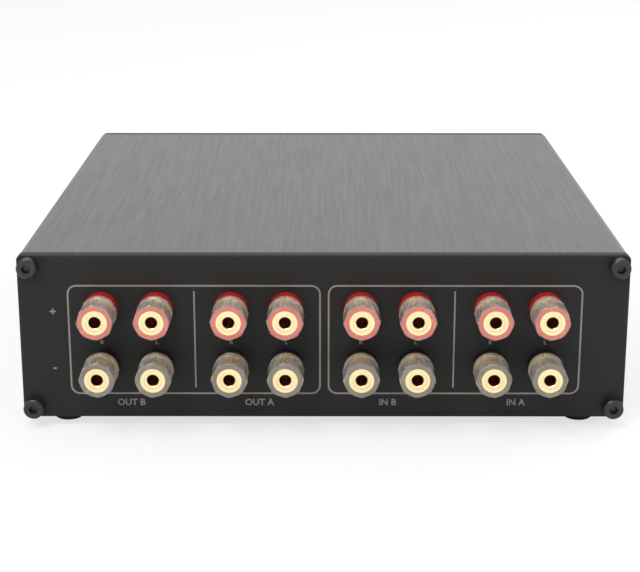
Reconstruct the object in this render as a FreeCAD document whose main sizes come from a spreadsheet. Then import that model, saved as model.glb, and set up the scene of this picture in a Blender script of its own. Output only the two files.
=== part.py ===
# Speaker selector switch: a passive desktop box that joins one of two amplifiers to one of two
# pairs of speakers. Sixteen binding posts stand on the back, and two four-pole toggle switches
# sit on the front. X runs to the right seen from the front, Y from the front to the back, Z up.
# The origin is on the table, under the middle of the overall box. Millimetres and degrees.

import FreeCAD, Part
import math
import os

import Sketcher
from FreeCAD import Placement, Rotation, Vector

SIZES = (
    # case
    ("case_width", 211.0),
    ("case_height", 59.0),
    ("shell_length", 214.0),
    ("shell_wall", 2.0),
    ("shell_corner_radius", 2.5),
    ("seam_tongue_thickness", 0.8),
    ("seam_tongue_height", 2.5),
    ("seam_clearance", 0.2),
    ("screw_channel_radius", 3.6),
    ("guide_rail_depth", 1.6),
    ("guide_rail_thickness", 1.2),
    ("guide_rail_gap", 2.0),
    ("guide_rail_height", 20.0),
    ("panel_thickness", 4.0),
    ("front_corner_radius", 3.0),
    ("rear_corner_radius", 2.0),
    ("panel_edge_chamfer", 0.4),
    # case screws
    ("screw_inset", 4.0),
    ("screw_radius", 2.0),
    ("screw_hole_clearance", 0.15),
    ("thread_clearance", 0.05),
    ("front_screw_length", 12.0),
    ("front_head_radius", 3.5),
    ("front_head_recess", 0.2),
    ("front_socket_flats", 2.6),
    ("front_socket_depth", 1.6),
    ("rear_screw_length", 10.0),
    ("rear_head_radius", 3.5),
    ("rear_head_height", 4.0),
    ("rear_head_chamfer", 0.4),
    ("rear_socket_flats", 3.0),
    ("rear_socket_depth", 2.0),
    # feet
    ("foot_height", 3.5),
    ("foot_base_radius", 6.0),
    ("foot_bottom_radius", 5.25),
    ("foot_edge_radius", 0.6),
    ("foot_side_inset", 14.3),
    ("foot_end_inset", 6.75),
    # places of the binding posts on the rear panel
    ("group_pitch", 45.0),
    ("pair_pitch", 19.05),
    ("red_row_drop", 19.25),
    ("post_row_pitch", 20.5),
    # binding posts
    ("stud_radius", 2.95),
    ("stud_front", 16.4),
    ("stud_back", 12.0),
    ("stud_clearance", 0.1),
    ("socket_radius", 2.0),
    ("socket_floor", 0.3),
    ("socket_chamfer", 0.25),
    ("collar_radius", 4.3),
    ("collar_thickness", 1.8),
    ("collar_seat", 1.6),
    ("wire_hole_radius", 1.2),
    ("wire_hole_place", 6.5),
    ("base_ring_radius", 6.1),
    ("base_ring_thickness", 4.6),
    ("shoulder_radius", 4.0),
    ("shoulder_length", 1.9),
    ("post_hole_clearance", 0.1),
    ("inner_ring_radius", 5.6),
    ("inner_ring_thickness", 1.6),
    ("tag_thickness", 0.6),
    ("tag_ring_radius", 5.0),
    ("tag_arm_width", 3.0),
    ("tag_arm_rise", 6.15),
    ("tag_arm_length", 9.0),
    ("post_nut_flats", 10.0),
    ("post_nut_thickness", 3.2),
    # knobs
    ("knob_gap", 0.1),
    ("knob_length", 11.8),
    ("knob_flats", 11.8),
    ("knob_corner_radius", 6.25),
    ("knob_front_chamfer", 0.5),
    ("knob_rim_radius", 6.15),
    ("knob_rim_length", 1.9),
    ("knob_turning_clearance", 0.05),
    ("knob_end_play", 0.1),
    ("insert_rear_radius", 4.6),
    ("insert_rear_thickness", 0.6),
    ("insert_waist_radius", 3.7),
    ("insert_waist_length", 3.9),
    ("insert_body_radius", 4.0),
    ("insert_band_length", 0.6),
    ("insert_face_radius", 4.25),
    ("insert_face_thickness", 1.0),
    ("insert_slot_count", 14.0),
    ("insert_slot_width", 1.3),
    ("insert_slot_depth", 0.45),
    # places of the switches on the front panel
    ("switch_spacing", 131.0),
    ("switch_drop", 31.3),
    # switch outside the panel
    ("bushing_radius", 3.175),
    ("bushing_length", 8.9),
    ("bushing_bore_radius", 2.35),
    ("bushing_rear_bore_radius", 2.6),
    ("bushing_rear_bore_length", 3.3),
    ("bushing_chamfer", 0.35),
    ("bushing_hole_clearance", 0.1),
    ("switch_nut_flats", 10.0),
    ("switch_nut_thickness", 2.0),
    ("switch_nut_chamfer", 0.45),
    ("lock_washer_radius", 5.25),
    ("lock_washer_thickness", 0.5),
    ("lever_tilt", 12.5),
    ("lever_ball_radius", 2.0),
    ("lever_neck_radius", 1.1),
    ("lever_tip_radius", 1.6),
    ("lever_length", 14.8),
    ("lever_tail_radius", 0.8),
    ("lever_tail_length", 8.4),
    ("lever_pin_radius", 0.6),
    ("lever_pin_length", 5.8),
    ("pin_clearance", 0.05),
    # switch behind the panel
    ("frame_thickness", 0.8),
    ("frame_leg_thickness", 0.5),
    ("frame_leg_length", 7.0),
    ("frame_clearance", 0.1),
    ("switch_case_width", 21.0),
    ("switch_case_height", 13.2),
    ("switch_case_depth", 9.5),
    ("switch_case_wall", 1.0),
    ("switch_case_floor", 1.5),
    ("pole_pitch", 4.8),
    ("throw_pitch", 4.7),
    ("actuator_width", 18.0),
    ("actuator_height", 3.0),
    ("actuator_front", 7.2),
    ("actuator_thickness", 2.3),
    ("actuator_nose_radius", 0.9),
    ("actuator_nose_length", 1.2),
    ("actuator_fit", 0.05),
    ("contact_pivot_height", 2.1),
    ("contact_tilt", 11.0),
    ("contact_width", 2.4),
    ("contact_length", 9.4),
    ("contact_thickness", 0.4),
    ("contact_ridge_radius", 0.35),
    ("terminal_width", 2.0),
    ("terminal_thickness", 0.8),
    ("terminal_fit", 0.05),
    ("lug_length", 4.5),
    ("throw_head_height", 0.8),
    ("throw_head_thickness", 1.6),
    ("fulcrum_gap", 0.2),
    # wiring
    ("wire_radius", 0.9),
    ("wire_bend_radius", 5.0),
    ("link_bend_radius", 3.5),
    ("floor_lane_height", 1.5),
    ("lane_pitch", 3.0),
    ("rear_drop_near", 9.0),
    ("rear_drop_far", 18.0),
    ("front_rise", 9.0),
    ("link_first_reach", 15.0),
    ("link_drop", 8.0),
)

NEAR = 1e-6
NEAR_THE_WALL = 1e-3
KNOB_TURN_STEP = 7
KNOB_TURN_SPREAD = 11
KNOB_TURN_MIDDLE = 5
NUT_TURNS = {"amp": -7.5, "speaker": -12.0}
HEX_ACROSS_CORNERS = 1 / math.cos(math.radians(30))
OCTAGON_ACROSS_CORNERS = 1 / math.cos(math.radians(22.5))
OUTWARD_AT_FRONT = Rotation(Vector(0, 0, 1), 180)
ROW_COLOURS = ("red", "black")
CHANNELS = (("left", -1), ("right", 1))
GROUPS = (("amp_a", -1.5), ("amp_b", -0.5), ("speaker_a", 0.5), ("speaker_b", 1.5))


class Size:
    """A length or angle, with the formula that gives it from the sheet."""

    def __init__(self, value, formula):
        self.value = value
        self.formula = formula

    def __float__(self):
        return float(self.value)

    def __add__(self, other):
        other = as_size(other)
        return Size(self.value + other.value, f"({self.formula} + {other.formula})")

    def __sub__(self, other):
        other = as_size(other)
        return Size(self.value - other.value, f"({self.formula} - {other.formula})")

    def __rsub__(self, other):
        return as_size(other) - self

    def __mul__(self, other):
        other = as_size(other)
        return Size(self.value * other.value, f"({self.formula} * {other.formula})")

    def __truediv__(self, other):
        other = as_size(other)
        return Size(self.value / other.value, f"({self.formula} / {other.formula})")

    def __neg__(self):
        return Size(-self.value, f"(-{self.formula})")

    __radd__ = __add__
    __rmul__ = __mul__


def as_size(number):
    if isinstance(number, Size):
        return number
    return Size(float(number), f"({float(number):.9f})")


def cosine(angle):
    return Size(math.cos(math.radians(angle.value)), f"cos({angle.formula})")


doc = FreeCAD.newDocument("speaker_selector_switch")
sheet = doc.addObject("Spreadsheet::Sheet", "Sizes")


class Sizes:
    """The driving dimensions by name, each tied to its cell in the sheet."""

    def __init__(self, table):
        for row, (name, value) in enumerate(table, start=1):
            sheet.set(f"A{row}", name)
            sheet.set(f"B{row}", str(value))
            sheet.setAlias(f"B{row}", name)
        doc.recompute()
        for name, _ in table:
            setattr(self, name, Size(float(sheet.get(name)), f"Sizes.{name}"))


s = Sizes(SIZES)
nodes = []


# Places that several pieces share

half_width = s.case_width / 2
half_height = s.case_height / 2
case_centre_height = s.foot_height + half_height
half_length = s.shell_length / 2
knob_face = s.base_ring_thickness + s.knob_gap + s.knob_length
lever_tip_place = s.lever_length - s.lever_tip_radius
lever_reach = lever_tip_place * cosine(s.lever_tilt) + s.lever_tip_radius
case_centre_place = (lever_reach - knob_face) / 2
front_face = case_centre_place - half_length - s.panel_thickness
rear_face = case_centre_place + half_length + s.panel_thickness
case_top = s.foot_height + s.case_height
screw_side = half_width - s.screw_inset
screw_rise = half_height - s.screw_inset
switch_side = s.switch_spacing / 2
switch_height = case_top - s.switch_drop
red_row_height = case_top - s.red_row_drop
black_row_height = red_row_height - s.post_row_pitch
frame_front = s.panel_thickness + s.lock_washer_thickness
case_front = frame_front + s.frame_thickness
case_floor = case_front + s.switch_case_depth - s.switch_case_floor
case_back = case_front + s.switch_case_depth
contact_pivot = case_floor - s.contact_pivot_height
lug_end = case_back + s.lug_length
pole_places = [s.pole_pitch * (k - 1.5) for k in range(4)]


def column_place(group_step, side):
    """X of a column of posts: the group's middle, and half a pair's pitch to either side."""
    return s.group_pitch * group_step + s.pair_pitch * (side / 2)


# Sketches and features


def bind(item, name, size):
    item.setExpression(name, as_size(size).formula)


def origin_plane(body, role):
    return next(item for item in body.Origin.OriginFeatures if item.Role == role)


def sketch_on(body, role, name, offset=0):
    """A sketch on one of the body's own planes, moved along the plane's normal."""
    sketch = body.newObject("Sketcher::SketchObject", name)
    sketch.AttachmentSupport = (origin_plane(body, role), [""])
    sketch.MapMode = "FlatFace"
    bind(sketch, "AttachmentOffset.Base.z", offset)
    return sketch


def section(body, name, place=0):
    """A sketch square to Y at the given Y, with its own axes along X and Z."""
    return sketch_on(body, "XZ_Plane", name, -as_size(place))


def fix_point(sketch, edge, end, x, y):
    for kind, axis, size in (("DistanceX", -2, x), ("DistanceY", -1, y)):
        if not isinstance(size, Size) and size == 0:
            sketch.addConstraint(Sketcher.Constraint("PointOnObject", edge, end, axis))
            continue
        rule = Sketcher.Constraint(kind, -1, 1, edge, end, float(size))
        number = sketch.addConstraint(rule)
        bind(sketch, f"Constraints[{number}]", size)


def outline(sketch, corners):
    """A closed polygon through the corners, each held from the sketch's origin."""
    first = sketch.GeometryCount
    points = [Vector(float(x), float(y), 0) for x, y in corners]
    count = len(points)
    for k in range(count):
        sketch.addGeometry(Part.LineSegment(points[k], points[(k + 1) % count]), False)
    for k in range(count):
        after = first + (k + 1) % count
        sketch.addConstraint(Sketcher.Constraint("Coincident", first + k, 2, after, 1))
    for k, (x, y) in enumerate(corners):
        fix_point(sketch, first + k, 1, x, y)


def rectangle(sketch, x, y, width, height):
    """A rectangle about the point x, y."""
    left, right = x - width / 2, x + width / 2
    low, high = y - height / 2, y + height / 2
    outline(sketch, [(left, low), (right, low), (right, high), (left, high)])


def regular(sketch, flats, count, corner_ratio, turn=0):
    """A regular polygon about the sketch's origin."""
    reach = flats / 2 * corner_ratio
    angles = [math.radians(turn + 360 * k / count) for k in range(count)]
    outline(sketch, [(reach * math.cos(a), reach * math.sin(a)) for a in angles])


def circle(sketch, x, y, radius):
    centre = Vector(float(x), float(y), 0)
    edge = sketch.addGeometry(Part.Circle(centre, Vector(0, 0, 1), float(radius)), False)
    fix_point(sketch, edge, 3, x, y)
    number = sketch.addConstraint(Sketcher.Constraint("Radius", edge, float(radius)))
    bind(sketch, f"Constraints[{number}]", radius)


def feature(body, kind, name, sketch):
    made = body.newObject(f"PartDesign::{kind}", name)
    made.Profile = sketch
    sketch.Visibility = False
    return made


def pad(body, name, sketch, length):
    """Material from a section towards +Y."""
    made = feature(body, "Pad", name, sketch)
    made.Reversed = True
    bind(made, "Length", length)
    return made


def pocket(body, name, sketch, length):
    """A cut from a section towards +Y."""
    made = feature(body, "Pocket", name, sketch)
    bind(made, "Length", length)
    return made


def turned(body, name, corners, kind="Revolution"):
    """A ring about Y from a profile whose corners are radius and Y."""
    sketch = sketch_on(body, "XY_Plane", f"{name}_profile")
    outline(sketch, corners)
    made = feature(body, kind, name, sketch)
    made.ReferenceAxis = (sketch, ["V_Axis"])
    made.Angle = 360
    return made


def round_corners(body, name, base, radius, chosen):
    """Round the edges of the last feature that run along Y and pass the test."""
    doc.recompute()
    picked = []
    for number, edge in enumerate(base.Shape.Edges, start=1):
        first, last = edge.Vertexes[0].Point, edge.Vertexes[-1].Point
        along_y = abs(first.x - last.x) < NEAR and abs(first.z - last.z) < NEAR
        if along_y and len(edge.Vertexes) == 2 and chosen(first):
            picked.append(f"Edge{number}")
    made = body.newObject("PartDesign::Fillet", name)
    made.Base = (base, picked)
    bind(made, "Radius", radius)
    return made


def new_body(name):
    body = doc.addObject("PartDesign::Body", name)
    body.Label = name
    return body


def place(item, x, y, z, rotation=None):
    item.Placement = Placement(Vector(float(x), float(y), float(z)), rotation or Rotation())
    for axis, size in (("x", x), ("y", y), ("z", z)):
        bind(item, f"Placement.Base.{axis}", size)


def keep(item):
    nodes.append(item)
    return item


def group(name, members):
    """One node of separate solids: copies of master pieces at their places."""
    links = []
    for number, (master, x, y, z, rotation) in enumerate(members, start=1):
        link = doc.addObject("App::Link", f"{name}_{number}")
        link.LinkedObject = master
        link.LinkTransform = False
        place(link, x, y, z, rotation)
        links.append(link)
    made = doc.addObject("Part::Compound", name)
    made.Label = name
    made.Links = links
    return keep(made)


# Case


def shell_profile(up):
    """Half of the case's section. up is 1 for the upper half and -1 for the lower half."""
    inner_side = half_width - s.shell_wall
    inner_roof = half_height - s.shell_wall
    tongue_side = inner_side + s.seam_tongue_thickness
    if up > 0:
        edge_side = tongue_side + s.seam_clearance
        step = s.seam_tongue_height + s.seam_clearance
        side = [(half_width, 0), (edge_side, 0), (edge_side, step), (inner_side, step)]
    else:
        side = [
            (half_width, 0),
            (tongue_side, 0),
            (tongue_side, s.seam_tongue_height),
            (inner_side, s.seam_tongue_height),
        ]
    corner = [(half_width, half_height * up)]
    right = corner + side + [(inner_side, inner_roof * up)]
    left = [(-x, y) for x, y in reversed(right)]
    return right + left


def at_case_height(point):
    return abs(point.z) > float(half_height) - NEAR_THE_WALL


def anywhere(point):
    return True


def shell(name, up):
    body = new_body(name)
    sketch = section(body, f"{name}_section", -half_length)
    outline(sketch, shell_profile(up))
    walls = pad(body, f"{name}_walls", sketch, s.shell_length)
    round_corners(body, f"{name}_corners", walls, s.shell_corner_radius, at_case_height)
    channels = section(body, f"{name}_channel_section", -half_length)
    for side in (-1, 1):
        circle(channels, screw_side * side, screw_rise * up, s.screw_channel_radius)
    pad(body, f"{name}_channels", channels, s.shell_length)
    holes = section(body, f"{name}_hole_section", -half_length)
    for side in (-1, 1):
        circle(holes, screw_side * side, screw_rise * up, s.screw_radius + s.thread_clearance)
    pocket(body, f"{name}_holes", holes, s.shell_length)
    if up < 0:
        guide_rails(body)
    place(body, 0, case_centre_place, case_centre_height)
    return keep(body)


def guide_rails(body):
    """Two ribs along each side wall, with a slot between them for a board."""
    rails = section(body, "guide_rail_section", -half_length)
    bite = s.shell_wall / 2
    width = s.guide_rail_depth + bite
    middle = half_width - s.shell_wall - s.guide_rail_depth + width / 2
    first = -half_height + s.guide_rail_height
    for side in (-1, 1):
        for step in (0, 1):
            height = first + (s.guide_rail_gap + s.guide_rail_thickness) * step
            rectangle(rails, middle * side, height, width, s.guide_rail_thickness)
    pad(body, "guide_rails", rails, s.shell_length)


def panel(name, corner_radius):
    """An end plate from its inner face at Y = 0 outwards, with its outer edge eased."""
    body = new_body(name)
    sketch = section(body, f"{name}_section", -s.panel_thickness)
    rectangle(sketch, as_size(0), as_size(0), s.case_width, s.case_height)
    plate = pad(body, f"{name}_plate", sketch, s.panel_thickness)
    corners = round_corners(body, f"{name}_corners", plate, corner_radius, anywhere)
    doc.recompute()
    outer = [
        f"Edge{number}"
        for number, edge in enumerate(corners.Shape.Edges, start=1)
        if all(abs(vertex.Point.y) < NEAR for vertex in edge.Vertexes)
    ]
    eased = body.newObject("PartDesign::Chamfer", f"{name}_eased_edge")
    eased.Base = (corners, outer)
    bind(eased, "Size", s.panel_edge_chamfer)
    return body


def panel_holes(body, name, circles):
    holes = section(body, name, -s.panel_thickness)
    for x, z, radius in circles:
        circle(holes, x, z, radius)
    pocket(body, f"{name}_cut", holes, s.panel_thickness)


def corner_places():
    return [(screw_side * i, screw_rise * k) for i in (-1, 1) for k in (-1, 1)]


def rear_panel():
    """Drawn with its outer face at Y = 0, so that posts and screws share its depths."""
    body = panel("rear_panel", s.rear_corner_radius)
    holes = [(x, z, s.screw_radius + s.screw_hole_clearance) for x, z in corner_places()]
    for _, step in GROUPS:
        for _, side in CHANNELS:
            for height in (red_row_height, black_row_height):
                radius = s.shoulder_radius + s.post_hole_clearance
                holes.append((column_place(step, side), height - case_centre_height, radius))
    panel_holes(body, "rear_panel_hole_section", holes)
    place(body, 0, rear_face, case_centre_height)
    return keep(body)


def front_panel():
    body = panel("front_panel", s.front_corner_radius)
    holes = [(x, z, s.screw_radius + s.screw_hole_clearance) for x, z in corner_places()]
    radius = s.bushing_radius + s.bushing_hole_clearance
    for side in (-1, 1):
        holes.append((switch_side * side, switch_height - case_centre_height, radius))
    panel_holes(body, "front_panel_hole_section", holes)
    widest = s.front_head_radius + s.screw_hole_clearance + s.front_head_recess
    narrowest = s.screw_radius + s.screw_hole_clearance
    for number, (x, z) in enumerate(corner_places(), start=1):
        sink = body.newObject("PartDesign::SubtractiveCone", f"countersink_{number}")
        bind(sink, "Radius1", narrowest)
        bind(sink, "Radius2", widest)
        bind(sink, "Height", widest - narrowest)
        sink.Placement = Placement(Vector(), Rotation(Vector(1, 0, 0), -90))
        bind(sink, "Placement.Base.x", x)
        bind(sink, "Placement.Base.y", narrowest - widest)
        bind(sink, "Placement.Base.z", z)
    place(body, 0, front_face, case_centre_height, OUTWARD_AT_FRONT)
    return keep(body)


def hex_socket(body, name, flats, mouth, depth):
    sketch = section(body, f"{name}_section", mouth - depth)
    regular(sketch, flats, 6, HEX_ACROSS_CORNERS)
    pocket(body, name, sketch, depth)


def front_screw():
    """Countersunk screw, its head just under the panel's face at Y = 0."""
    body = new_body("front_screw")
    top = -s.front_head_recess
    cone = s.front_head_radius - s.screw_radius
    corners = [
        (0, -s.front_screw_length),
        (s.screw_radius, -s.front_screw_length),
        (s.screw_radius, top - cone),
        (s.front_head_radius, top),
        (0, top),
    ]
    turned(body, "front_screw_turning", corners)
    hex_socket(body, "front_screw_socket", s.front_socket_flats, top, s.front_socket_depth)
    return body


def rear_screw():
    """Socket cap screw, its head standing on the panel's face at Y = 0."""
    body = new_body("rear_screw")
    top = s.rear_head_height
    corners = [
        (0, -s.rear_screw_length),
        (s.screw_radius, -s.rear_screw_length),
        (s.screw_radius, 0),
        (s.rear_head_radius, 0),
        (s.rear_head_radius, top - s.rear_head_chamfer),
        (s.rear_head_radius - s.rear_head_chamfer, top),
        (0, top),
    ]
    turned(body, "rear_screw_turning", corners)
    hex_socket(body, "rear_screw_socket", s.rear_socket_flats, top, s.rear_socket_depth)
    return body


def panel_screws(name, master, face, rotation):
    places = [(master, x, face, case_centre_height + z, rotation) for x, z in corner_places()]
    group(name, places)


def foot():
    """Rubber foot about Z, standing on Z = 0."""
    body = new_body("foot")
    sketch = sketch_on(body, "XZ_Plane", "foot_profile")
    edge = s.foot_edge_radius
    corners = [
        (0, 0),
        (s.foot_bottom_radius - edge, 0),
        (s.foot_bottom_radius, edge),
        (s.foot_base_radius, s.foot_height),
        (0, s.foot_height),
    ]
    outline(sketch, corners)
    made = feature(body, "Revolution", "foot_turning", sketch)
    made.ReferenceAxis = (sketch, ["V_Axis"])
    made.Angle = 360
    return body


def feet():
    master = foot()
    side = half_width - s.foot_side_inset
    reach = half_length - s.foot_end_inset
    spots = [(side * i, case_centre_place + reach * k) for i in (-1, 1) for k in (-1, 1)]
    group("rubber_feet", [(master, x, y, as_size(0), None) for x, y in spots])


# Binding posts, each drawn about Y with the panel's outer face at Y = 0


def terminal_stem():
    """Hollow threaded stud with a collar, a cross hole for bare wire and a solid rear end."""
    body = new_body("terminal_stem")
    corners = [
        (0, -s.stud_back),
        (s.stud_radius, -s.stud_back),
        (s.stud_radius, s.collar_seat),
        (s.collar_radius, s.collar_seat),
        (s.collar_radius, s.collar_seat + s.collar_thickness),
        (s.stud_radius, s.collar_seat + s.collar_thickness),
        (s.stud_radius, s.stud_front),
        (s.socket_radius + s.socket_chamfer, s.stud_front),
        (s.socket_radius, s.stud_front - s.socket_chamfer),
        (s.socket_radius, s.socket_floor),
        (0, s.socket_floor),
    ]
    turned(body, "stem_turning", corners)
    sketch = sketch_on(body, "XY_Plane", "wire_hole_section", -s.stud_radius * 2)
    circle(sketch, 0, s.wire_hole_place, s.wire_hole_radius)
    hole = feature(body, "Pocket", "wire_hole", sketch)
    hole.Reversed = True
    bind(hole, "Length", s.stud_radius * 4)
    return body


def base_insulator():
    """Coloured ring under the knob, with a shoulder in the panel's hole and a seat for the collar."""
    body = new_body("base_insulator")
    bore = s.stud_radius + s.stud_clearance
    seat = s.collar_radius + s.stud_clearance
    corners = [
        (bore, -s.shoulder_length),
        (s.shoulder_radius, -s.shoulder_length),
        (s.shoulder_radius, 0),
        (s.base_ring_radius, 0),
        (s.base_ring_radius, s.base_ring_thickness),
        (seat, s.base_ring_thickness),
        (seat, s.collar_seat),
        (bore, s.collar_seat),
    ]
    turned(body, "base_insulator_turning", corners)
    return body


def inner_insulator():
    """Shouldered washer behind the panel."""
    body = new_body("inner_insulator")
    bore = s.stud_radius + s.stud_clearance
    inner_face = -s.panel_thickness
    back = inner_face - s.inner_ring_thickness
    corners = [
        (bore, back),
        (s.inner_ring_radius, back),
        (s.inner_ring_radius, inner_face),
        (s.shoulder_radius, inner_face),
        (s.shoulder_radius, inner_face + s.shoulder_length),
        (bore, inner_face + s.shoulder_length),
    ]
    turned(body, "inner_insulator_turning", corners)
    return body


tag_back = s.panel_thickness + s.inner_ring_thickness + s.tag_thickness
tag_arm_end = tag_back + s.tag_arm_length
tag_arm_centre = s.tag_arm_rise - s.tag_thickness / 2


def solder_tag():
    """Ring under the nut, with an arm that rises and then runs into the case."""
    body = new_body("solder_tag")
    ring = section(body, "tag_ring_section", -tag_back)
    circle(ring, 0, 0, s.tag_ring_radius)
    pad(body, "tag_ring", ring, s.tag_thickness)
    neck = section(body, "tag_neck_section", -tag_back)
    rectangle(neck, as_size(0), s.tag_arm_rise / 2, s.tag_arm_width, s.tag_arm_rise)
    pad(body, "tag_neck", neck, s.tag_thickness)
    arm = section(body, "tag_arm_section", -tag_arm_end)
    rectangle(arm, as_size(0), tag_arm_centre, s.tag_arm_width, s.tag_thickness)
    pad(body, "tag_arm", arm, s.tag_arm_length)
    hole = section(body, "tag_hole_section", -tag_back)
    circle(hole, 0, 0, s.stud_radius + s.stud_clearance)
    pocket(body, "tag_hole", hole, s.tag_thickness)
    return body


def hexagon_nut(name, flats, thickness, bore, back):
    body = new_body(name)
    sketch = section(body, f"{name}_section", back)
    regular(sketch, flats, 6, HEX_ACROSS_CORNERS)
    circle(sketch, 0, 0, bore)
    pad(body, f"{name}_block", sketch, thickness)
    return body


def post_places():
    """Every post: its name, row colour, X and Z."""
    rows = (("red", red_row_height), ("black", black_row_height))
    for group_name, step in GROUPS:
        for channel, side in CHANNELS:
            for colour, height in rows:
                yield f"{group_name}_{channel}_{colour}", colour, column_place(step, side), height


def post_group(name, master, colour=None):
    spots = [p for p in post_places() if colour in (None, p[1])]
    group(name, [(master, x, rear_face, z, None) for _, _, x, z in spots])


def knob_insert(name):
    """Brass nut inside the knob, threaded on the stud, with slots that show through the sleeve."""
    body = new_body(f"{name}_insert")
    back = s.base_ring_thickness + s.knob_gap
    bore = s.stud_radius + s.thread_clearance
    waist = back + s.insert_rear_thickness
    band = waist + s.insert_waist_length
    face = knob_face - s.insert_face_thickness
    corners = [
        (bore, back),
        (s.insert_rear_radius, back),
        (s.insert_rear_radius, waist),
        (s.insert_waist_radius, waist),
        (s.insert_waist_radius, band),
        (s.insert_body_radius, band),
        (s.insert_body_radius, face),
        (s.insert_face_radius, face),
        (s.insert_face_radius, knob_face),
        (bore, knob_face),
    ]
    turned(body, f"{name}_insert_turning", corners)
    slots_start = band + s.insert_band_length
    sketch = section(body, f"{name}_slot_section", slots_start)
    deepest = s.insert_body_radius - s.insert_slot_depth
    height = s.insert_slot_depth * 2
    rectangle(sketch, as_size(0), deepest + height / 2, s.insert_slot_width, height)
    slot = pocket(body, f"{name}_slot", sketch, face - slots_start)
    slots = body.newObject("PartDesign::PolarPattern", f"{name}_slots")
    slots.Originals = [slot]
    slots.Axis = (sketch, ["N_Axis"])
    slots.Angle = 360
    slots.Occurrences = round(float(s.insert_slot_count))
    body.Tip = slots
    return body


def knob_sleeve(name):
    """Clear moulding: a round rim, then an octagon with its front corners turned off."""
    body = new_body(f"{name}_sleeve")
    back = s.base_ring_thickness + s.knob_gap
    rim_end = back + s.knob_rim_length
    front = knob_face
    rim = [(0, back), (s.knob_rim_radius, back), (s.knob_rim_radius, rim_end), (0, rim_end)]
    turned(body, f"{name}_rim", rim)
    sketch = section(body, f"{name}_octagon", back + s.knob_rim_length / 2)
    regular(sketch, s.knob_flats, 8, OCTAGON_ACROSS_CORNERS)
    pad(body, f"{name}_grip", sketch, front - back - s.knob_rim_length / 2)
    bore = s.insert_body_radius + s.knob_turning_clearance
    rear_bore = s.insert_rear_radius + s.knob_turning_clearance
    face_bore = s.insert_face_radius + s.knob_turning_clearance
    rear_step = back + s.insert_rear_thickness + s.knob_end_play
    face_step = front - s.insert_face_thickness - s.knob_end_play
    corners = [
        (0, back),
        (rear_bore, back),
        (rear_bore, rear_step),
        (bore, rear_step),
        (bore, face_step),
        (face_bore, face_step),
        (face_bore, front),
        (0, front),
    ]
    turned(body, f"{name}_bore", corners, kind="Groove")
    past = s.knob_flats
    turn_start = front - s.knob_front_chamfer
    turned(
        body,
        f"{name}_turned_corners",
        [
            (s.knob_corner_radius, rim_end),
            (past, rim_end),
            (past, front),
            (s.knob_corner_radius - s.knob_front_chamfer, front),
            (s.knob_corner_radius, turn_start),
        ],
        kind="Groove",
    )
    return body


def knobs():
    """The grips stand at slightly different turns, as fingers left them."""
    for number, (name, _, x, z) in enumerate(post_places()):
        angle = number * KNOB_TURN_STEP % KNOB_TURN_SPREAD - KNOB_TURN_MIDDLE
        turn = Rotation(Vector(0, 1, 0), angle)
        for make in (knob_insert, knob_sleeve):
            piece = make(name)
            place(piece, x, rear_face, z, turn)
            keep(piece)


def binding_posts():
    post_group("terminal_stems", terminal_stem())
    insulator = base_insulator()
    for colour in ROW_COLOURS:
        post_group(f"{colour}_base_insulators", insulator, colour)
    post_group("inner_insulators", inner_insulator())
    post_group("solder_tags", solder_tag())
    bore = s.stud_radius + s.thread_clearance
    back = -tag_back - s.post_nut_thickness
    nut = hexagon_nut("post_nut", s.post_nut_flats, s.post_nut_thickness, bore, back)
    post_group("terminal_nuts", nut)
    knobs()


# Switches, each drawn about Y with the panel's outer face at Y = 0 and Y outwards


def switch_bushing():
    """Threaded bushing on a plate whose two legs fold over the switch case."""
    body = new_body("switch_bushing")
    front = s.bushing_length - frame_front
    plate = section(body, "bushing_plate_section", -case_front)
    plate_width = s.switch_case_width + (s.frame_leg_thickness + s.frame_clearance) * 2
    rectangle(plate, as_size(0), as_size(0), plate_width, s.switch_case_height)
    pad(body, "bushing_plate", plate, s.frame_thickness)
    legs = section(body, "bushing_leg_section", -case_front - s.frame_leg_length)
    leg_place = plate_width / 2 - s.frame_leg_thickness / 2
    for side in (-1, 1):
        rectangle(legs, leg_place * side, as_size(0), s.frame_leg_thickness, s.switch_case_height)
    pad(body, "bushing_legs", legs, s.frame_leg_length)
    barrel = [
        (0, -case_front),
        (s.bushing_radius, -case_front),
        (s.bushing_radius, front - s.bushing_chamfer),
        (s.bushing_radius - s.bushing_chamfer, front),
        (0, front),
    ]
    turned(body, "bushing_barrel", barrel)
    step = s.bushing_rear_bore_length - case_front
    bore = [
        (0, -case_front),
        (s.bushing_rear_bore_radius, -case_front),
        (s.bushing_rear_bore_radius, step),
        (s.bushing_bore_radius, step),
        (s.bushing_bore_radius, front - s.bushing_chamfer),
        (s.bushing_bore_radius + s.bushing_chamfer, front),
        (0, front),
    ]
    turned(body, "bushing_bore", bore, kind="Groove")
    sketch = sketch_on(body, "YZ_Plane", "pin_hole_section", -s.bushing_radius * 2)
    circle(sketch, 0, 0, s.lever_pin_radius + s.pin_clearance)
    hole = feature(body, "Pocket", "pin_hole", sketch)
    hole.Reversed = True
    bind(hole, "Length", s.bushing_radius * 4)
    return body


def switch_nut(name):
    bore = s.bushing_radius + s.thread_clearance
    body = hexagon_nut(name, s.switch_nut_flats, s.switch_nut_thickness, bore, 0)
    corner = s.switch_nut_flats / 2 * HEX_ACROSS_CORNERS
    top = s.switch_nut_thickness
    fall = s.switch_nut_chamfer
    past = s.switch_nut_flats
    turned(
        body,
        f"{name}_turned_corners",
        [(corner, top - fall), (past, top - fall), (past, top), (s.switch_nut_flats / 2, top)],
        kind="Groove",
    )
    return body


def lock_washer():
    body = new_body("lock_washer")
    bore = s.bushing_radius + s.bushing_hole_clearance
    corners = [
        (bore, -frame_front),
        (s.lock_washer_radius, -frame_front),
        (s.lock_washer_radius, -s.panel_thickness),
        (bore, -s.panel_thickness),
    ]
    turned(body, "lock_washer_turning", corners)
    return body


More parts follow.
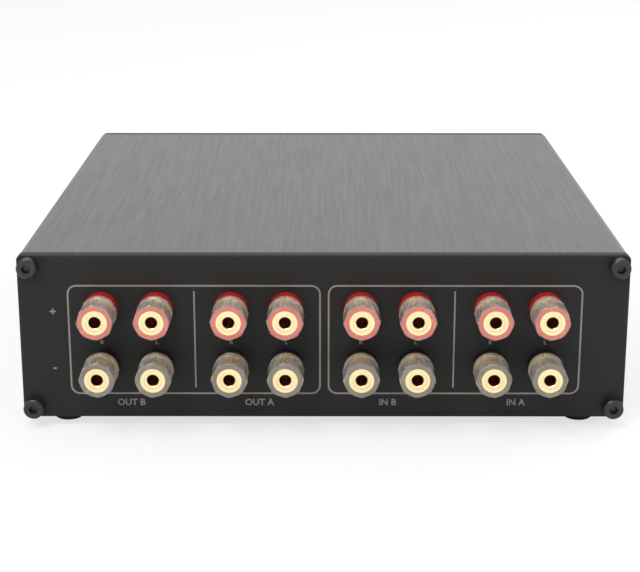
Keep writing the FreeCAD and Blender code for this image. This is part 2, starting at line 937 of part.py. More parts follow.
def solid_of(kind, name, sizes, x, y, z, rotation=None):
    item = doc.addObject(f"Part::{kind}", name)
    for key, size in sizes.items():
        bind(item, key, size)
    place(item, as_size(x), as_size(y), as_size(z), rotation)
    return item


ALONG_Y = Rotation(Vector(1, 0, 0), -90)
ALONG_X = Rotation(Vector(0, 1, 0), 90)


def lever(name):
    """Bat lever about Y, with its ball and cross pin at the origin."""
    tip = lever_tip_place
    parts = [
        solid_of("Sphere", f"{name}_ball", {"Radius": s.lever_ball_radius}, 0, 0, 0),
        solid_of(
            "Cone",
            f"{name}_bat",
            {"Radius1": s.lever_neck_radius, "Radius2": s.lever_tip_radius, "Height": tip},
            0,
            0,
            0,
            ALONG_Y,
        ),
        solid_of("Sphere", f"{name}_tip", {"Radius": s.lever_tip_radius}, 0, tip, 0),
        solid_of(
            "Cylinder",
            f"{name}_tail",
            {"Radius": s.lever_tail_radius, "Height": s.lever_tail_length},
            0,
            -s.lever_tail_length,
            0,
            ALONG_Y,
        ),
        solid_of(
            "Cylinder",
            f"{name}_pin",
            {"Radius": s.lever_pin_radius, "Height": s.lever_pin_length},
            -s.lever_pin_length / 2,
            0,
            0,
            ALONG_X,
        ),
    ]
    made = doc.addObject("Part::MultiFuse", name)
    made.Label = name
    made.Shapes = parts
    return made


def actuator(name):
    """Moulded bar on the lever's tail, with one nose for each pole."""
    body = new_body(name)
    back = -s.actuator_front - s.actuator_thickness
    bar = section(body, f"{name}_bar_section", back)
    rectangle(bar, as_size(0), as_size(0), s.actuator_width, s.actuator_height)
    pad(body, f"{name}_bar", bar, s.actuator_thickness)
    noses = section(body, f"{name}_nose_section", back - s.actuator_nose_length)
    for pole in pole_places:
        circle(noses, pole, 0, s.actuator_nose_radius)
    pad(body, f"{name}_noses", noses, s.actuator_nose_length)
    socket = section(body, f"{name}_socket_section", -s.lever_tail_length)
    circle(socket, 0, 0, s.lever_tail_radius + s.actuator_fit)
    pocket(body, f"{name}_socket", socket, s.lever_tail_length - s.actuator_front)
    return body


def switch_case():
    """Moulded box, open towards the frame, with a slot for each terminal in its floor."""
    body = new_body("switch_case")
    block = section(body, "case_block_section", -case_back)
    rectangle(block, as_size(0), as_size(0), s.switch_case_width, s.switch_case_height)
    pad(body, "case_block", block, s.switch_case_depth)
    hollow = section(body, "case_hollow_section", -case_floor)
    walls = s.switch_case_wall * 2
    rectangle(
        hollow,
        as_size(0),
        as_size(0),
        s.switch_case_width - walls,
        s.switch_case_height - walls,
    )
    pocket(body, "case_hollow", hollow, s.switch_case_depth - s.switch_case_floor)
    slots = section(body, "case_slot_section", -case_back)
    width = s.terminal_width + s.terminal_fit * 2
    height = s.terminal_thickness + s.terminal_fit * 2
    for pole in pole_places:
        for row in (-1, 0, 1):
            rectangle(slots, pole, as_size(0) + s.throw_pitch * row, width, height)
    pocket(body, "case_slots", slots, s.switch_case_floor)
    return body


def terminal(name, head_height, head_thickness):
    """Flat pin through the case floor, with a head inside and a lug outside."""
    body = new_body(name)
    pin = section(body, f"{name}_pin_section", -lug_end)
    rectangle(pin, as_size(0), as_size(0), s.terminal_width, s.terminal_thickness)
    pad(body, f"{name}_pin", pin, lug_end - case_floor)
    head = section(body, f"{name}_head_section", -case_floor)
    rectangle(head, as_size(0), as_size(0), s.terminal_width, head_thickness)
    pad(body, f"{name}_head", head, head_height)
    return body


def contacts(name):
    """Four rocking blades, each with a round ridge on its pivot line, which runs along X."""
    body = new_body(name)
    blades = section(body, f"{name}_section", -s.contact_thickness / 2)
    for pole in pole_places:
        rectangle(blades, pole, as_size(0), s.contact_width, s.contact_length)
    pad(body, f"{name}_blades", blades, s.contact_thickness)
    for number, pole in enumerate(pole_places, start=1):
        start = pole - s.contact_width / 2
        ridge = sketch_on(body, "YZ_Plane", f"{name}_ridge_section_{number}", start)
        circle(ridge, 0, 0, s.contact_ridge_radius)
        made = feature(body, "Pad", f"{name}_ridge_{number}", ridge)
        bind(made, "Length", s.contact_width)
    return body


def switches():
    sides = (("amp", -1, 1), ("speaker", 1, -1))
    bushing = switch_bushing()
    washer = lock_washer()
    case = switch_case()
    throw = terminal("throw_terminal", s.throw_head_height, s.throw_head_thickness)
    fulcrum_height = s.contact_pivot_height - s.contact_ridge_radius - s.fulcrum_gap
    common = terminal("common_terminal", fulcrum_height, s.terminal_thickness)
    nut = switch_nut("switch_nut")
    placed = {"bushings": [], "lock_washers": [], "cases": [], "nuts": [], "terminals": []}
    for switch, side, up in sides:
        x = switch_side * side
        spot = (x, front_face, switch_height, OUTWARD_AT_FRONT)
        placed["bushings"].append((bushing, *spot))
        placed["lock_washers"].append((washer, *spot))
        placed["cases"].append((case, *spot))
        nut_turn = OUTWARD_AT_FRONT * Rotation(Vector(0, 1, 0), NUT_TURNS[switch])
        placed["nuts"].append((nut, x, front_face, switch_height, nut_turn))
        for pole in pole_places:
            for row in (-1, 0, 1):
                height = switch_height + s.throw_pitch * row
                master = throw if row else common
                placed["terminals"].append((master, x + pole, front_face, height, OUTWARD_AT_FRONT))
        tilt = OUTWARD_AT_FRONT * Rotation(Vector(1, 0, 0), float(s.lever_tilt) * up)
        rock = OUTWARD_AT_FRONT * Rotation(Vector(1, 0, 0), -float(s.contact_tilt) * up)
        for made in (lever(f"{switch}_lever"), actuator(f"{switch}_actuator")):
            place(made, x, front_face, switch_height, tilt)
            keep(made)
        blades = contacts(f"{switch}_contacts")
        place(blades, x, front_face + contact_pivot, switch_height, rock)
        keep(blades)
    for what, members in placed.items():
        group(f"switch_{what}", members)


# Wiring: insulated leads of round section, in straight runs joined by tangent arcs


def rounded_route(points, radius):
    """A wire through the points, with each corner replaced by an arc tangent to its runs."""
    edges = []
    start = points[0]
    for before, corner, after in zip(points, points[1:], points[2:]):
        back = (before - corner).normalize()
        ahead = (after - corner).normalize()
        half_turn = (math.pi - back.getAngle(ahead)) / 2
        reach = radius * math.tan(half_turn)
        enter = corner + back * reach
        leave = corner + ahead * reach
        inward = (back + ahead).normalize()
        middle = corner + inward * (radius / math.cos(half_turn) - radius)
        edges.append(Part.LineSegment(start, enter).toShape())
        edges.append(Part.Arc(enter, middle, leave).toShape())
        start = leave
    edges.append(Part.LineSegment(start, points[-1]).toShape())
    return Part.Wire(edges)


def lead(points, radius):
    """Sweep the lead's section along its route, and print how true its volume is."""
    route = rounded_route(points, radius)
    wire_radius = float(s.wire_radius)
    ring = Part.Circle(points[0], points[1] - points[0], wire_radius).toShape()
    solid = route.makePipeShell([Part.Wire([ring])], True, False)
    expected = math.pi * wire_radius**2 * route.Length
    if abs(solid.Volume / expected - 1) > 0.01:
        raise ValueError(f"a lead has {solid.Volume:.2f} instead of {expected:.2f} cubic mm")
    return solid


def leads_node(name, solids):
    made = doc.addObject("Part::Feature", name)
    made.Label = name
    made.Shape = Part.makeCompound(solids)
    made.Placement = Placement()
    keep(made)


def post_leads(switch_x, groups):
    """Leads of one switch: set A along the floor to the lower throws, set B under the roof."""
    start_y = float(rear_face - tag_arm_end)
    end_y = float(front_face + lug_end)
    turn_y = end_y + float(s.front_rise)
    drops = {"red": start_y - float(s.rear_drop_far), "black": start_y - float(s.rear_drop_near)}
    floor = float(s.foot_height + s.shell_wall + s.floor_lane_height)
    pitch = float(s.lane_pitch)
    roof = float(red_row_height + tag_arm_centre)
    lanes = {
        "a": {"black": floor, "red": floor + pitch},
        "b": {"black": roof - pitch, "red": roof},
    }
    heights = {"red": float(red_row_height), "black": float(black_row_height)}
    solids = []
    for letter, step in groups:
        throw = float(s.throw_pitch) * (-1 if letter == "a" else 1)
        end_z = float(switch_height) + throw
        for number, (_, side) in enumerate(CHANNELS):
            for place_in_pair, colour in enumerate(ROW_COLOURS):
                x = float(column_place(step, side))
                z = heights[colour] + float(tag_arm_centre)
                lane = lanes[letter][colour]
                end_x = float(switch_x + pole_places[2 * number + place_in_pair])
                turn = Vector(x, drops[colour], z)
                points = [Vector(x, start_y, z), turn]
                if abs(lane - z) > NEAR:
                    points.append(Vector(x, drops[colour], lane))
                points.append(Vector(end_x, turn_y, lane))
                points.append(Vector(end_x, turn_y, end_z))
                points.append(Vector(end_x, end_y, end_z))
                solids.append(lead(points, float(s.wire_bend_radius)))
    return solids


def link_leads():
    """Leads between the common terminals of the two switches."""
    end_y = float(front_face + lug_end)
    z = float(switch_height)
    low = z - float(s.link_drop)
    solids = []
    for number, pole in enumerate(pole_places):
        reach = end_y + float(s.link_first_reach) + float(s.lane_pitch) * number
        left, right = (float(switch_side * side + pole) for side in (-1, 1))
        points = [
            Vector(left, end_y, z),
            Vector(left, reach, z),
            Vector(left, reach, low),
            Vector(right, reach, low),
            Vector(right, reach, z),
            Vector(right, end_y, z),
        ]
        solids.append(lead(points, float(s.link_bend_radius)))
    return solids


def wiring():
    leads_node("amp_wires", post_leads(-switch_side, (("a", -1.5), ("b", -0.5))))
    leads_node("speaker_wires", post_leads(switch_side, (("a", 0.5), ("b", 1.5))))
    leads_node("link_wires", link_leads())


# The whole switch


def check(items):
    for item in doc.Objects:
        if "Invalid" in item.State or "Error" in item.State:
            raise ValueError(f"{item.Label} did not compute: {item.State}")
    for item in items:
        shape = item.Shape
        if shape.isNull() or not shape.isValid() or not shape.Solids:
            raise ValueError(f"{item.Label} is not a valid solid")


def cuts_removed_something():
    for item in doc.Objects:
        if item.TypeId in ("PartDesign::Pocket", "PartDesign::Groove", "PartDesign::SubtractiveCone"):
            before = item.BaseFeature.Shape.Volume
            if not item.Shape.Volume < before - 1e-4:
                raise ValueError(f"{item.Label} cut nothing")


def main():
    shell("upper_shell", 1)
    shell("lower_shell", -1)
    front_panel()
    rear_panel()
    panel_screws("front_panel_screws", front_screw(), front_face, OUTWARD_AT_FRONT)
    panel_screws("rear_panel_screws", rear_screw(), rear_face, None)
    feet()
    binding_posts()
    switches()
    wiring()
    doc.recompute()
    check(nodes)
    cuts_removed_something()
    os.makedirs("parts", exist_ok=True)
    for item in nodes:
        item.Shape.exportStep(f"parts/{item.Label}.step")
    print(len(nodes), "nodes,", sum(len(item.Shape.Solids) for item in nodes), "solids")


main()
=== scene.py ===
# Looks of the speaker selector switch: finishes, silk-screened marks, threads, light and camera.
# Metres in the part's own frame: X to the right seen from the front, Y to the back, Z up.

import math

import bmesh
import bpy
from mathutils import Matrix, Vector


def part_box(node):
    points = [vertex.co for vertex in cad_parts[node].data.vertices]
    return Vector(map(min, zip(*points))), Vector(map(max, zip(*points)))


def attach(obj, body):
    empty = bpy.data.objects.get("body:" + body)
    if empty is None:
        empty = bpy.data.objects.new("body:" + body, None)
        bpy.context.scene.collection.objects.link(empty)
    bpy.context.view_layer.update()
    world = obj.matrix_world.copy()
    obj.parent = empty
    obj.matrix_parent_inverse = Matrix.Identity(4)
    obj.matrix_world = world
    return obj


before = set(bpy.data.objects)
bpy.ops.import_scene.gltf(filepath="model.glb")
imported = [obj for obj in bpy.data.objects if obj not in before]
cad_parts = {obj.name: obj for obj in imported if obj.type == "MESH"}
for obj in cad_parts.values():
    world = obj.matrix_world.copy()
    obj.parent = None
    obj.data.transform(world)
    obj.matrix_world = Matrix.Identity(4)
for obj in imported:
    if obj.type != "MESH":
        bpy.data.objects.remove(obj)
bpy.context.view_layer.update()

MM = 0.001
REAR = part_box("rear_panel")[1].y
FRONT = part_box("front_panel")[0].y
PANEL_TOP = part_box("rear_panel")[1].z
PANEL_MIDDLE = (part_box("rear_panel")[0].z + PANEL_TOP) / 2
SWITCH_HEIGHT = (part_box("switch_nuts")[0].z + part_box("switch_nuts")[1].z) / 2
SWITCH_SIDE = 65.5 * MM
PRINT_THICKNESS = 0.03 * MM
LINE_WIDTH = 0.6 * MM
DIVIDER_WIDTH = LINE_WIDTH * 0.9
FRONT_LINE_WIDTH = 0.35 * MM
HALF_PAIR_PITCH = 9.525
CAPITAL_SHARE = 0.73
LEAST_MITRE = 0.5
NOISE_LOW = 0.3
NOISE_HIGH = 0.7
THREAD_STEPS = 40
THREAD_FADE_STEPS = 10
THREAD_PROFILE = ((-0.42, -0.15), (-0.08, 1.0), (0.08, 1.0), (0.42, -0.15))
FLOOR_HALF_SIZE = 6.0
FLOOR_WHITENING = 0.7
WORLD_LIGHT = 0.7
WORLD_SEEN = 1.0
CAMERA_LENS = 89.8
CAMERA_BACK = 0.5275
CAMERA_UP = 0.1434
CAMERA_ASIDE = 0.0001
CAMERA_DIP = 16.31
CAMERA_TURN = 0.12


# Finishes


class Finish:
    """A material built from nodes around one Principled shader."""

    def __init__(self, name):
        self.material = bpy.data.materials.new(name)
        self.material.use_nodes = True
        self.tree = self.material.node_tree
        self.shader = next(n for n in self.tree.nodes if n.type == "BSDF_PRINCIPLED")

    def node(self, kind, **values):
        made = self.tree.nodes.new(kind)
        for name, value in values.items():
            if name in made.bl_rna.properties:
                setattr(made, name, value)
            else:
                made.inputs[name.replace("_", " ")].default_value = value
        return made

    def link(self, source, target):
        self.tree.links.new(source, target)

    def set(self, **values):
        for name, value in values.items():
            self.shader.inputs[name.replace("_", " ")].default_value = value
        return self

    def coordinates(self, scale=(1, 1, 1)):
        where = self.node("ShaderNodeTexCoord")
        mapping = self.node("ShaderNodeMapping")
        mapping.inputs["Scale"].default_value = scale
        self.link(where.outputs["Object"], mapping.inputs["Vector"])
        return mapping.outputs["Vector"]

    def noise(self, scale, detail=3.0, stretch=(1, 1, 1)):
        made = self.node("ShaderNodeTexNoise", Scale=scale, Detail=detail)
        self.link(self.coordinates(stretch), made.inputs["Vector"])
        return made.outputs["Fac"]

    def spread(self, source, low, high):
        """The noise's usual reach, mapped onto low to high."""
        made = self.node("ShaderNodeMapRange")
        made.inputs["From Min"].default_value = NOISE_LOW
        made.inputs["From Max"].default_value = NOISE_HIGH
        made.inputs["To Min"].default_value = low
        made.inputs["To Max"].default_value = high
        self.link(source, made.inputs["Value"])
        return made.outputs["Result"]

    def blend(self, source, dark, light):
        made = self.node("ShaderNodeMix", data_type="RGBA")
        colours = [i for i in made.inputs if i.type == "RGBA"]
        colours[0].default_value = (*dark, 1)
        colours[1].default_value = (*light, 1)
        self.link(source, made.inputs["Factor"])
        return next(o for o in made.outputs if o.type == "RGBA")

    def grain(self, source, strength, distance):
        bump = self.node("ShaderNodeBump", Strength=strength, Distance=distance)
        self.link(source, bump.inputs["Height"])
        self.link(bump.outputs["Normal"], self.shader.inputs["Normal"])


def satin_case():
    """Black anodised extrusion with faint drawing lines along it."""
    made = Finish("satin_black_anodised").set(Metallic=0.0, IOR=1.62, Specular_IOR_Level=0.95)
    cloud = made.noise(60.0)
    drawn = made.noise(900.0, 2.0, (1, 0.03, 1))
    colour = made.blend(made.spread(cloud, 0, 1), (0.020, 0.020, 0.021), (0.027, 0.027, 0.028))
    made.link(colour, made.shader.inputs["Base Color"])
    made.link(made.spread(drawn, 0.33, 0.42), made.shader.inputs["Roughness"])
    made.grain(drawn, 0.05, 0.00002)
    return made.material


def powder_coat():
    """Matt black panel, finely speckled."""
    made = Finish("matt_black_panel").set(Metallic=0.0, IOR=1.5, Specular_IOR_Level=0.3)
    fleck = made.noise(2600.0, 2.0)
    cloud = made.noise(35.0)
    colour = made.blend(made.spread(fleck, 0, 1), (0.006, 0.006, 0.0058), (0.014, 0.0135, 0.013))
    made.link(colour, made.shader.inputs["Base Color"])
    made.link(made.spread(cloud, 0.52, 0.6), made.shader.inputs["Roughness"])
    made.grain(fleck, 0.25, 0.00003)
    return made.material


def metal(name, dark, light, low, high):
    made = Finish(name).set(Metallic=1.0)
    cloud = made.noise(120.0)
    made.link(made.blend(made.spread(cloud, 0, 1), dark, light), made.shader.inputs["Base Color"])
    made.link(made.spread(cloud, low, high), made.shader.inputs["Roughness"])
    return made.material


def moulding(name, dark, light, low, high, coat=0.0):
    made = Finish(name).set(Metallic=0.0, IOR=1.5, Coat_Weight=coat, Coat_Roughness=0.08)
    cloud = made.noise(90.0)
    made.link(made.blend(made.spread(cloud, 0, 1), dark, light), made.shader.inputs["Base Color"])
    made.link(made.spread(cloud, low, high), made.shader.inputs["Roughness"])
    return made.material


def clear_moulding(name, dark, light, low, high, clearness, index=1.45):
    """Moulded clear plastic, with a little milkiness of its own."""
    made = Finish(name).set(Metallic=0.0, IOR=index, Transmission_Weight=clearness)
    cloud = made.noise(140.0)
    made.link(made.blend(made.spread(cloud, 0, 1), dark, light), made.shader.inputs["Base Color"])
    made.link(made.spread(cloud, low, high), made.shader.inputs["Roughness"])
    return made.material


CASE = satin_case()
PANEL = powder_coat()
SCREW = moulding("black_oxide", (0.010, 0.010, 0.010), (0.018, 0.018, 0.018), 0.28, 0.38)
RUBBER = moulding("foot_rubber", (0.010, 0.010, 0.010), (0.020, 0.020, 0.020), 0.7, 0.85)
GOLD = metal("gold_plate", (0.93, 0.72, 0.38), (0.98, 0.80, 0.48), 0.2, 0.3)
# darker brown gold for the socket bores: painted shade inside the holes, since the plating is the same gold
# as the stems
SOCKET_GOLD_PAINTED_SHADE = metal("socket_gold_painted_shade", (0.34, 0.13, 0.035), (0.44, 0.19, 0.06), 0.25, 0.4)
# darker gold for the recessed cells of the inserts: painted shade in the recesses, since the insert is one
# brass part
SLOT_GOLD_PAINTED_SHADE = metal("slot_gold_painted_shade", (0.52, 0.36, 0.16), (0.64, 0.46, 0.22), 0.3, 0.45)
TIN = metal("tin_plate", (0.55, 0.54, 0.51), (0.66, 0.65, 0.62), 0.3, 0.42)
NICKEL = metal("nickel_plate", (0.62, 0.61, 0.59), (0.74, 0.73, 0.71), 0.12, 0.2)
RED = moulding("red_moulding", (0.50, 0.006, 0.009), (0.62, 0.012, 0.016), 0.16, 0.24, 0.5)
BLACK = moulding("black_moulding", (0.008, 0.008, 0.008), (0.014, 0.014, 0.014), 0.2, 0.3, 0.3)
THERMOSET = moulding("switch_moulding", (0.016, 0.016, 0.02), (0.03, 0.03, 0.036), 0.4, 0.55)
RED_LEAD = moulding("red_lead", (0.32, 0.012, 0.012), (0.4, 0.02, 0.02), 0.45, 0.55)
BLACK_LEAD = moulding("black_lead", (0.012, 0.012, 0.012), (0.02, 0.02, 0.02), 0.45, 0.55)
CLEAR = clear_moulding("clear_cap", (0.95, 0.90, 0.80), (0.98, 0.95, 0.88), 0.05, 0.1, 0.85, 1.36)
RED_FACE = clear_moulding("red_cap_face", (0.62, 0.17, 0.15), (0.72, 0.24, 0.20), 0.18, 0.3, 0.15)
SMOKE_FACE = clear_moulding("smoke_cap_face", (0.22, 0.20, 0.165), (0.30, 0.27, 0.23), 0.18, 0.3, 0.25)
INK = moulding("print_grey", (0.20, 0.175, 0.15), (0.27, 0.24, 0.21), 0.5, 0.6)
WHITE_INK = moulding("print_white", (0.62, 0.62, 0.62), (0.72, 0.72, 0.72), 0.5, 0.6)

FINISHES = {
    "upper_shell": CASE,
    "lower_shell": CASE,
    "front_panel": PANEL,
    "rear_panel": PANEL,
    "front_panel_screws": SCREW,
    "rear_panel_screws": SCREW,
    "rubber_feet": RUBBER,
    "terminal_stems": GOLD,
    "terminal_nuts": GOLD,
    "solder_tags": TIN,
    "red_base_insulators": RED,
    "black_base_insulators": BLACK,
    "inner_insulators": BLACK,
    "switch_bushings": NICKEL,
    "switch_nuts": NICKEL,
    "switch_lock_washers": NICKEL,
    "amp_lever": NICKEL,
    "speaker_lever": NICKEL,
    "switch_cases": THERMOSET,
    "switch_terminals": TIN,
    "amp_actuator": THERMOSET,
    "speaker_actuator": THERMOSET,
    "amp_contacts": TIN,
    "speaker_contacts": TIN,
    "amp_wires": RED_LEAD,
    "speaker_wires": RED_LEAD,
    "link_wires": BLACK_LEAD,
}


def paint_faces(item, finish, chosen):
    """A second finish on the faces of a CAD node that pass the test."""
    item.data.materials.append(finish)
    index = len(item.data.materials) - 1
    for face in item.data.polygons:
        if chosen(face.center, face.normal):
            face.material_index = index


def axis_distance(point, axis):
    return math.hypot(point.x - axis.x, point.z - axis.z)


def dress_sleeve(name, item):
    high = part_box(name)[1]
    finish = RED_FACE if "_red_" in name else SMOKE_FACE

    def on_face(centre, normal):
        return normal.y > 0.9 and centre.y > high.y - 0.1 * MM

    paint_faces(item, finish, on_face)


# the slot faces between the ribs get the darker gold: painted shade in the recessed cells
def dress_insert(name, item):
    low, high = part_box(name)
    axis = (low + high) / 2

    def in_slot(centre, normal):
        reach = axis_distance(centre, axis)
        return 3.2 * MM < reach < 3.93 * MM and low.y + 4.8 * MM < centre.y < high.y - 1.05 * MM

    paint_faces(item, SLOT_GOLD_PAINTED_SHADE, in_slot)


# the faces inside each socket bore get the darker gold: painted shade inside the holes
def dress_stems(item):
    def in_socket(centre, normal):
        return centre.y > REAR and min(axis_distance(centre, p) for p in POST_AXES) < 2.05 * MM

    paint_faces(item, SOCKET_GOLD_PAINTED_SHADE, in_socket)


def post_axes():
    axes = []
    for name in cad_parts:
        if name.endswith("_sleeve"):
            low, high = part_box(name)
            axes.append((low + high) / 2)
    return axes


POST_AXES = post_axes()


def dress_cad_nodes():
    for name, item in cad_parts.items():
        item.data.materials.clear()
        if name.endswith("_sleeve"):
            item.data.materials.append(CLEAR)
            dress_sleeve(name, item)
        elif name.endswith("_insert"):
            item.data.materials.append(GOLD)
            dress_insert(name, item)
        else:
            item.data.materials.append(FINISHES[name])
    dress_stems(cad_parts["terminal_stems"])


# Marks printed on the panels


def on_rear(across, down):
    """A point on the rear panel: across to the right seen from behind, down from the top edge, in mm."""
    return Vector((-across * MM, REAR, PANEL_TOP - down * MM))


def on_front(across, down):
    return Vector((across * MM, FRONT, PANEL_TOP - down * MM))


def solid_strip(points, width, outward, closed=False):
    """A flat print along the points, in the plane of a panel. outward is 1 at the back, -1 in front."""
    mesh = bmesh.new()
    count = len(points)
    rows = []
    for k, point in enumerate(points):
        before = points[k - 1] if closed or k else None
        after = points[(k + 1) % count] if closed or k < count - 1 else None
        way = Vector()
        if before is not None:
            way += (point - before).normalized()
        if after is not None:
            way += (after - point).normalized()
        way.normalize()
        run = (after - point).normalized() if after is not None else (point - before).normalized()
        side = Vector((way.z, 0, -way.x))
        reach = width / 2 / max(LEAST_MITRE, abs(way.dot(run)))
        rise = Vector((0, outward * PRINT_THICKNESS, 0))
        corners = (point - side * reach, point + side * reach)
        rows.append([mesh.verts.new(c + lift) for lift in (Vector(), rise) for c in corners])
    spans = range(count) if closed else range(count - 1)
    for k in spans:
        a, b = rows[k], rows[(k + 1) % count]
        for i, j in ((0, 1), (1, 3), (3, 2), (2, 0)):
            mesh.faces.new((a[i], a[j], b[j], b[i]))
    if not closed:
        for row in (rows[0], rows[-1]):
            mesh.faces.new((row[0], row[1], row[3], row[2]))
    bmesh.ops.recalc_face_normals(mesh, faces=mesh.faces)
    return mesh


def from_bmesh(name, mesh, finish, body="chassis"):
    data = bpy.data.meshes.new(name)
    mesh.to_mesh(data)
    mesh.free()
    return from_mesh(name, data, finish, body)


def from_mesh(name, data, finish, body="chassis"):
    item = bpy.data.objects.new(name, data)
    bpy.context.scene.collection.objects.link(item)
    data.materials.clear()
    data.materials.append(finish)
    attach(item, body)
    return item


def rounded_frame(left, right, top, bottom, radius, steps=8):
    """Corner points of a rounded rectangle, in mm across and down."""
    centres = (
        (right - radius, top + radius, -90),
        (right - radius, bottom - radius, 0),
        (left + radius, bottom - radius, 90),
        (left + radius, top + radius, 180),
    )
    points = []
    for x, y, start in centres:
        for k in range(steps + 1):
            angle = math.radians(start + 90 * k / steps)
            points.append((x + radius * math.cos(angle), y + radius * math.sin(angle)))
    return points


def lettering(name, words, place, height, finish, rear, bold=0.0):
    """Plain capitals, centred on the place and raised by the print's thickness."""
    curve = bpy.data.curves.new(name, "FONT")
    curve.body = words
    curve.align_x = "CENTER"
    curve.align_y = "CENTER"
    curve.size = height / CAPITAL_SHARE
    curve.extrude = PRINT_THICKNESS / 2
    curve.offset = bold
    curve.resolution_u = 3
    source = bpy.data.objects.new(name, curve)
    bpy.context.scene.collection.objects.link(source)
    bpy.context.view_layer.update()
    graph = bpy.context.evaluated_depsgraph_get()
    data = bpy.data.meshes.new_from_object(source.evaluated_get(graph))
    bpy.data.objects.remove(source)
    turn = Matrix.Rotation(math.radians(90), 4, "X")
    if rear:
        turn = Matrix.Rotation(math.radians(180), 4, "Z") @ turn
    lift = Vector((0, PRINT_THICKNESS / 2 * (1 if rear else -1), 0))
    data.transform(Matrix.Translation(place + lift) @ turn)
    return from_mesh(name, data, finish)


GROUPS = (
    ("amp_a", 67.5, "IN A"),
    ("amp_b", 22.5, "IN B"),
    ("speaker_a", -22.5, "OUT A"),
    ("speaker_b", -67.5, "OUT B"),
)


def rear_marks():
    for name, left, right in (("outputs", -88.3, -1.2), ("inputs", 1.8, 89.3)):
        points = [on_rear(x, y) for x, y in rounded_frame(left, right, 10.9, 50.2, 3.0)]
        strip = solid_strip(points, LINE_WIDTH, 1, closed=True)
        from_bmesh(f"print_frame_{name}", strip, INK)
    for name, across in (("outputs", -44.7), ("inputs", 45.4)):
        strip = solid_strip([on_rear(across, 12.8), on_rear(across, 48.0)], DIVIDER_WIDTH, 1)
        from_bmesh(f"print_divider_{name}", strip, INK)
    lettering("print_plus", "+", on_rear(-93.7, 20.4), 3.0 * MM, INK, True, 0.0001)
    lettering("print_minus", "-", on_rear(-93.8, 40.6), 3.0 * MM, INK, True, 0.0001)
    for name, across, words in GROUPS:
        lettering(f"print_{name}", words, on_rear(across, 53.6), 2.4 * MM, INK, True, 0.00007)
        for letter, side in (("R", -1), ("L", 1)):
            spot = on_rear(across + side * HALF_PAIR_PITCH, 31.4)
            lettering(f"print_{name}_{letter}", letter, spot, 1.5 * MM, INK, True, 0.00005)


def front_marks():
    for name, side, word in (("input", -1, "IN"), ("output", 1, "OUT")):
        bar = [on_front(78.5 * side, 27.9), on_front(78.5 * side, 34.6)]
        from_bmesh(f"print_{name}_bar", solid_strip(bar, FRONT_LINE_WIDTH, -1), WHITE_INK)
        arm = [on_front(78.5 * side, 31.2), on_front(71.6 * side, 31.2)]
        from_bmesh(f"print_{name}_arm", solid_strip(arm, FRONT_LINE_WIDTH, -1), WHITE_INK)
        lettering(f"print_{name}_A", "A", on_front(78.4 * side, 25.0), 1.9 * MM, WHITE_INK, False, 0.00002)
        lettering(f"print_{name}_B", "B", on_front(78.4 * side, 37.75), 1.9 * MM, WHITE_INK, False, 0.00002)
        spot = on_front(65.6 * side, 46.9)
        lettering(f"print_{name}_word", word, spot, 2.3 * MM, WHITE_INK, False, 0.00003)


# Threads


def thread(name, centre, radius, height, pitch, start, end, outward, finish, body="chassis"):
    """A raised helix on a plain barrel about Y."""
    mesh = bmesh.new()
    turns = (end - start) / pitch
    count = max(2, int(THREAD_STEPS * turns))
    rows = []
    for k in range(count + 1):
        angle = 2 * math.pi * k / THREAD_STEPS
        along = start + pitch * k / THREAD_STEPS
        fade = min(1.0, k / THREAD_FADE_STEPS, (count - k) / THREAD_FADE_STEPS)
        row = []
        for offset, rise in THREAD_PROFILE:
            r = radius + (height * rise if rise < 0 else height * rise * fade)
            y = centre.y + outward * (along + pitch * offset)
            row.append(mesh.verts.new((centre.x + r * math.cos(angle), y, centre.z + r * math.sin(angle))))
        rows.append(row)
    for a, b in zip(rows, rows[1:]):
        for i in range(4):
            j = (i + 1) % 4
            mesh.faces.new((a[i], a[j], b[j], b[i]))
    mesh.faces.new(rows[0])
    mesh.faces.new(rows[-1])
    bmesh.ops.recalc_face_normals(mesh, faces=mesh.faces)
    return from_bmesh(name, mesh, finish, body)


def bushing_threads():
    for name, side in (("amp", -1), ("speaker", 1)):
        centre = Vector((SWITCH_SIDE * side, FRONT, SWITCH_HEIGHT))
        thread(
            f"{name}_bushing_thread",
            centre,
            3.175 * MM,
            0.12 * MM,
            0.55 * MM,
            2.25 * MM,
            3.75 * MM,
            -1,
            NICKEL,
        )


# Stage


def floor_finish():
    """Pale paper, whitened for the camera alone, so that its light on the box stays plain."""
    made = Finish("pale_floor").set(Base_Color=(0.93, 0.93, 0.93, 1), Roughness=0.9, Specular_IOR_Level=0.1)
    seen = made.node("ShaderNodeLightPath").outputs["Is Camera Ray"]
    share = made.node("ShaderNodeMath", operation="MULTIPLY")
    share.inputs[1].default_value = FLOOR_WHITENING
    made.link(seen, share.inputs[0])
    white = made.node("ShaderNodeEmission", Strength=1.0)
    mixed = made.node("ShaderNodeMixShader")
    made.link(share.outputs[0], mixed.inputs[0])
    made.link(made.shader.outputs[0], mixed.inputs[1])
    made.link(white.outputs[0], mixed.inputs[2])
    out = next(n for n in made.material.node_tree.nodes if n.type == "OUTPUT_MATERIAL")
    made.link(mixed.outputs[0], out.inputs["Surface"])
    return made.material


def stage():
    size = FLOOR_HALF_SIZE
    mesh = bmesh.new()
    corners = ((-size, -size), (size, -size), (size, size), (-size, size))
    mesh.faces.new([mesh.verts.new((x, y, 0)) for x, y in corners])
    data = bpy.data.meshes.new("floor")
    mesh.to_mesh(data)
    mesh.free()
    data.materials.append(floor_finish())
    floor = bpy.data.objects.new("floor", data)
    bpy.context.scene.collection.objects.link(floor)


def area_light(name, place, target, width, height, power):
    data = bpy.data.lights.new(name, "AREA")
    data.shape = "RECTANGLE"
    data.size = width
    data.size_y = height
    data.energy = power
    item = bpy.data.objects.new(name, data)
    item.location = place
    item.rotation_euler = (Vector(target) - Vector(place)).to_track_quat("-Z", "Y").to_euler()
    bpy.context.scene.collection.objects.link(item)


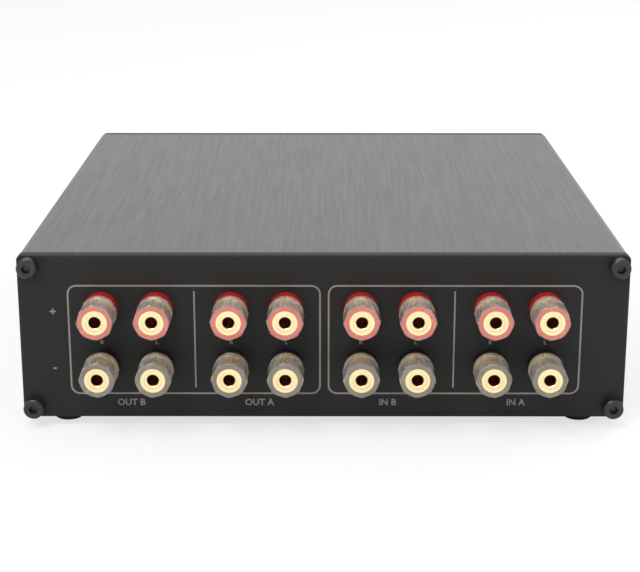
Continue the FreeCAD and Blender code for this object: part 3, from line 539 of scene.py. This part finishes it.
def lights():
    middle = (0, 0, 0.04)
    area_light("key", (0.5, 0.9, 1.3), middle, 0.9, 0.9, 14.0)
    area_light("fill", (-0.9, -0.7, 0.9), middle, 0.9, 0.9, 7.0)
    world = bpy.data.worlds.new("studio")
    bpy.context.scene.world = world
    world.use_nodes = True
    tree = world.node_tree
    tree.nodes.clear()
    path = tree.nodes.new("ShaderNodeLightPath")
    seen = tree.nodes.new("ShaderNodeMath")
    seen.operation = "MAXIMUM"
    tree.links.new(path.outputs["Is Camera Ray"], seen.inputs[0])
    tree.links.new(path.outputs["Is Glossy Ray"], seen.inputs[1])
    seen_through = tree.nodes.new("ShaderNodeMath")
    seen_through.operation = "MAXIMUM"
    tree.links.new(seen.outputs[0], seen_through.inputs[0])
    tree.links.new(path.outputs["Is Transmission Ray"], seen_through.inputs[1])
    plain = tree.nodes.new("ShaderNodeBackground")
    plain.inputs["Color"].default_value = (1, 1, 1, 1)
    plain.inputs["Strength"].default_value = WORLD_LIGHT
    white = tree.nodes.new("ShaderNodeBackground")
    white.inputs["Color"].default_value = (1, 1, 1, 1)
    white.inputs["Strength"].default_value = WORLD_SEEN
    mixed = tree.nodes.new("ShaderNodeMixShader")
    tree.links.new(seen_through.outputs[0], mixed.inputs[0])
    tree.links.new(plain.outputs[0], mixed.inputs[1])
    tree.links.new(white.outputs[0], mixed.inputs[2])
    out = tree.nodes.new("ShaderNodeOutputWorld")
    tree.links.new(mixed.outputs[0], out.inputs["Surface"])


def camera():
    data = bpy.data.cameras.new("camera")
    data.sensor_fit = "HORIZONTAL"
    data.sensor_width = 36.0
    data.lens = CAMERA_LENS
    item = bpy.data.objects.new("camera", data)
    item.location = (CAMERA_ASIDE, REAR + CAMERA_BACK, PANEL_TOP + CAMERA_UP)
    item.rotation_euler = (math.radians(90 - CAMERA_DIP), 0, math.radians(180 + CAMERA_TURN))
    bpy.context.scene.collection.objects.link(item)
    bpy.context.scene.camera = item


dress_cad_nodes()
rear_marks()
front_marks()
bushing_threads()
stage()
lights()
camera()
bpy.context.scene.view_settings.view_transform = "Standard"
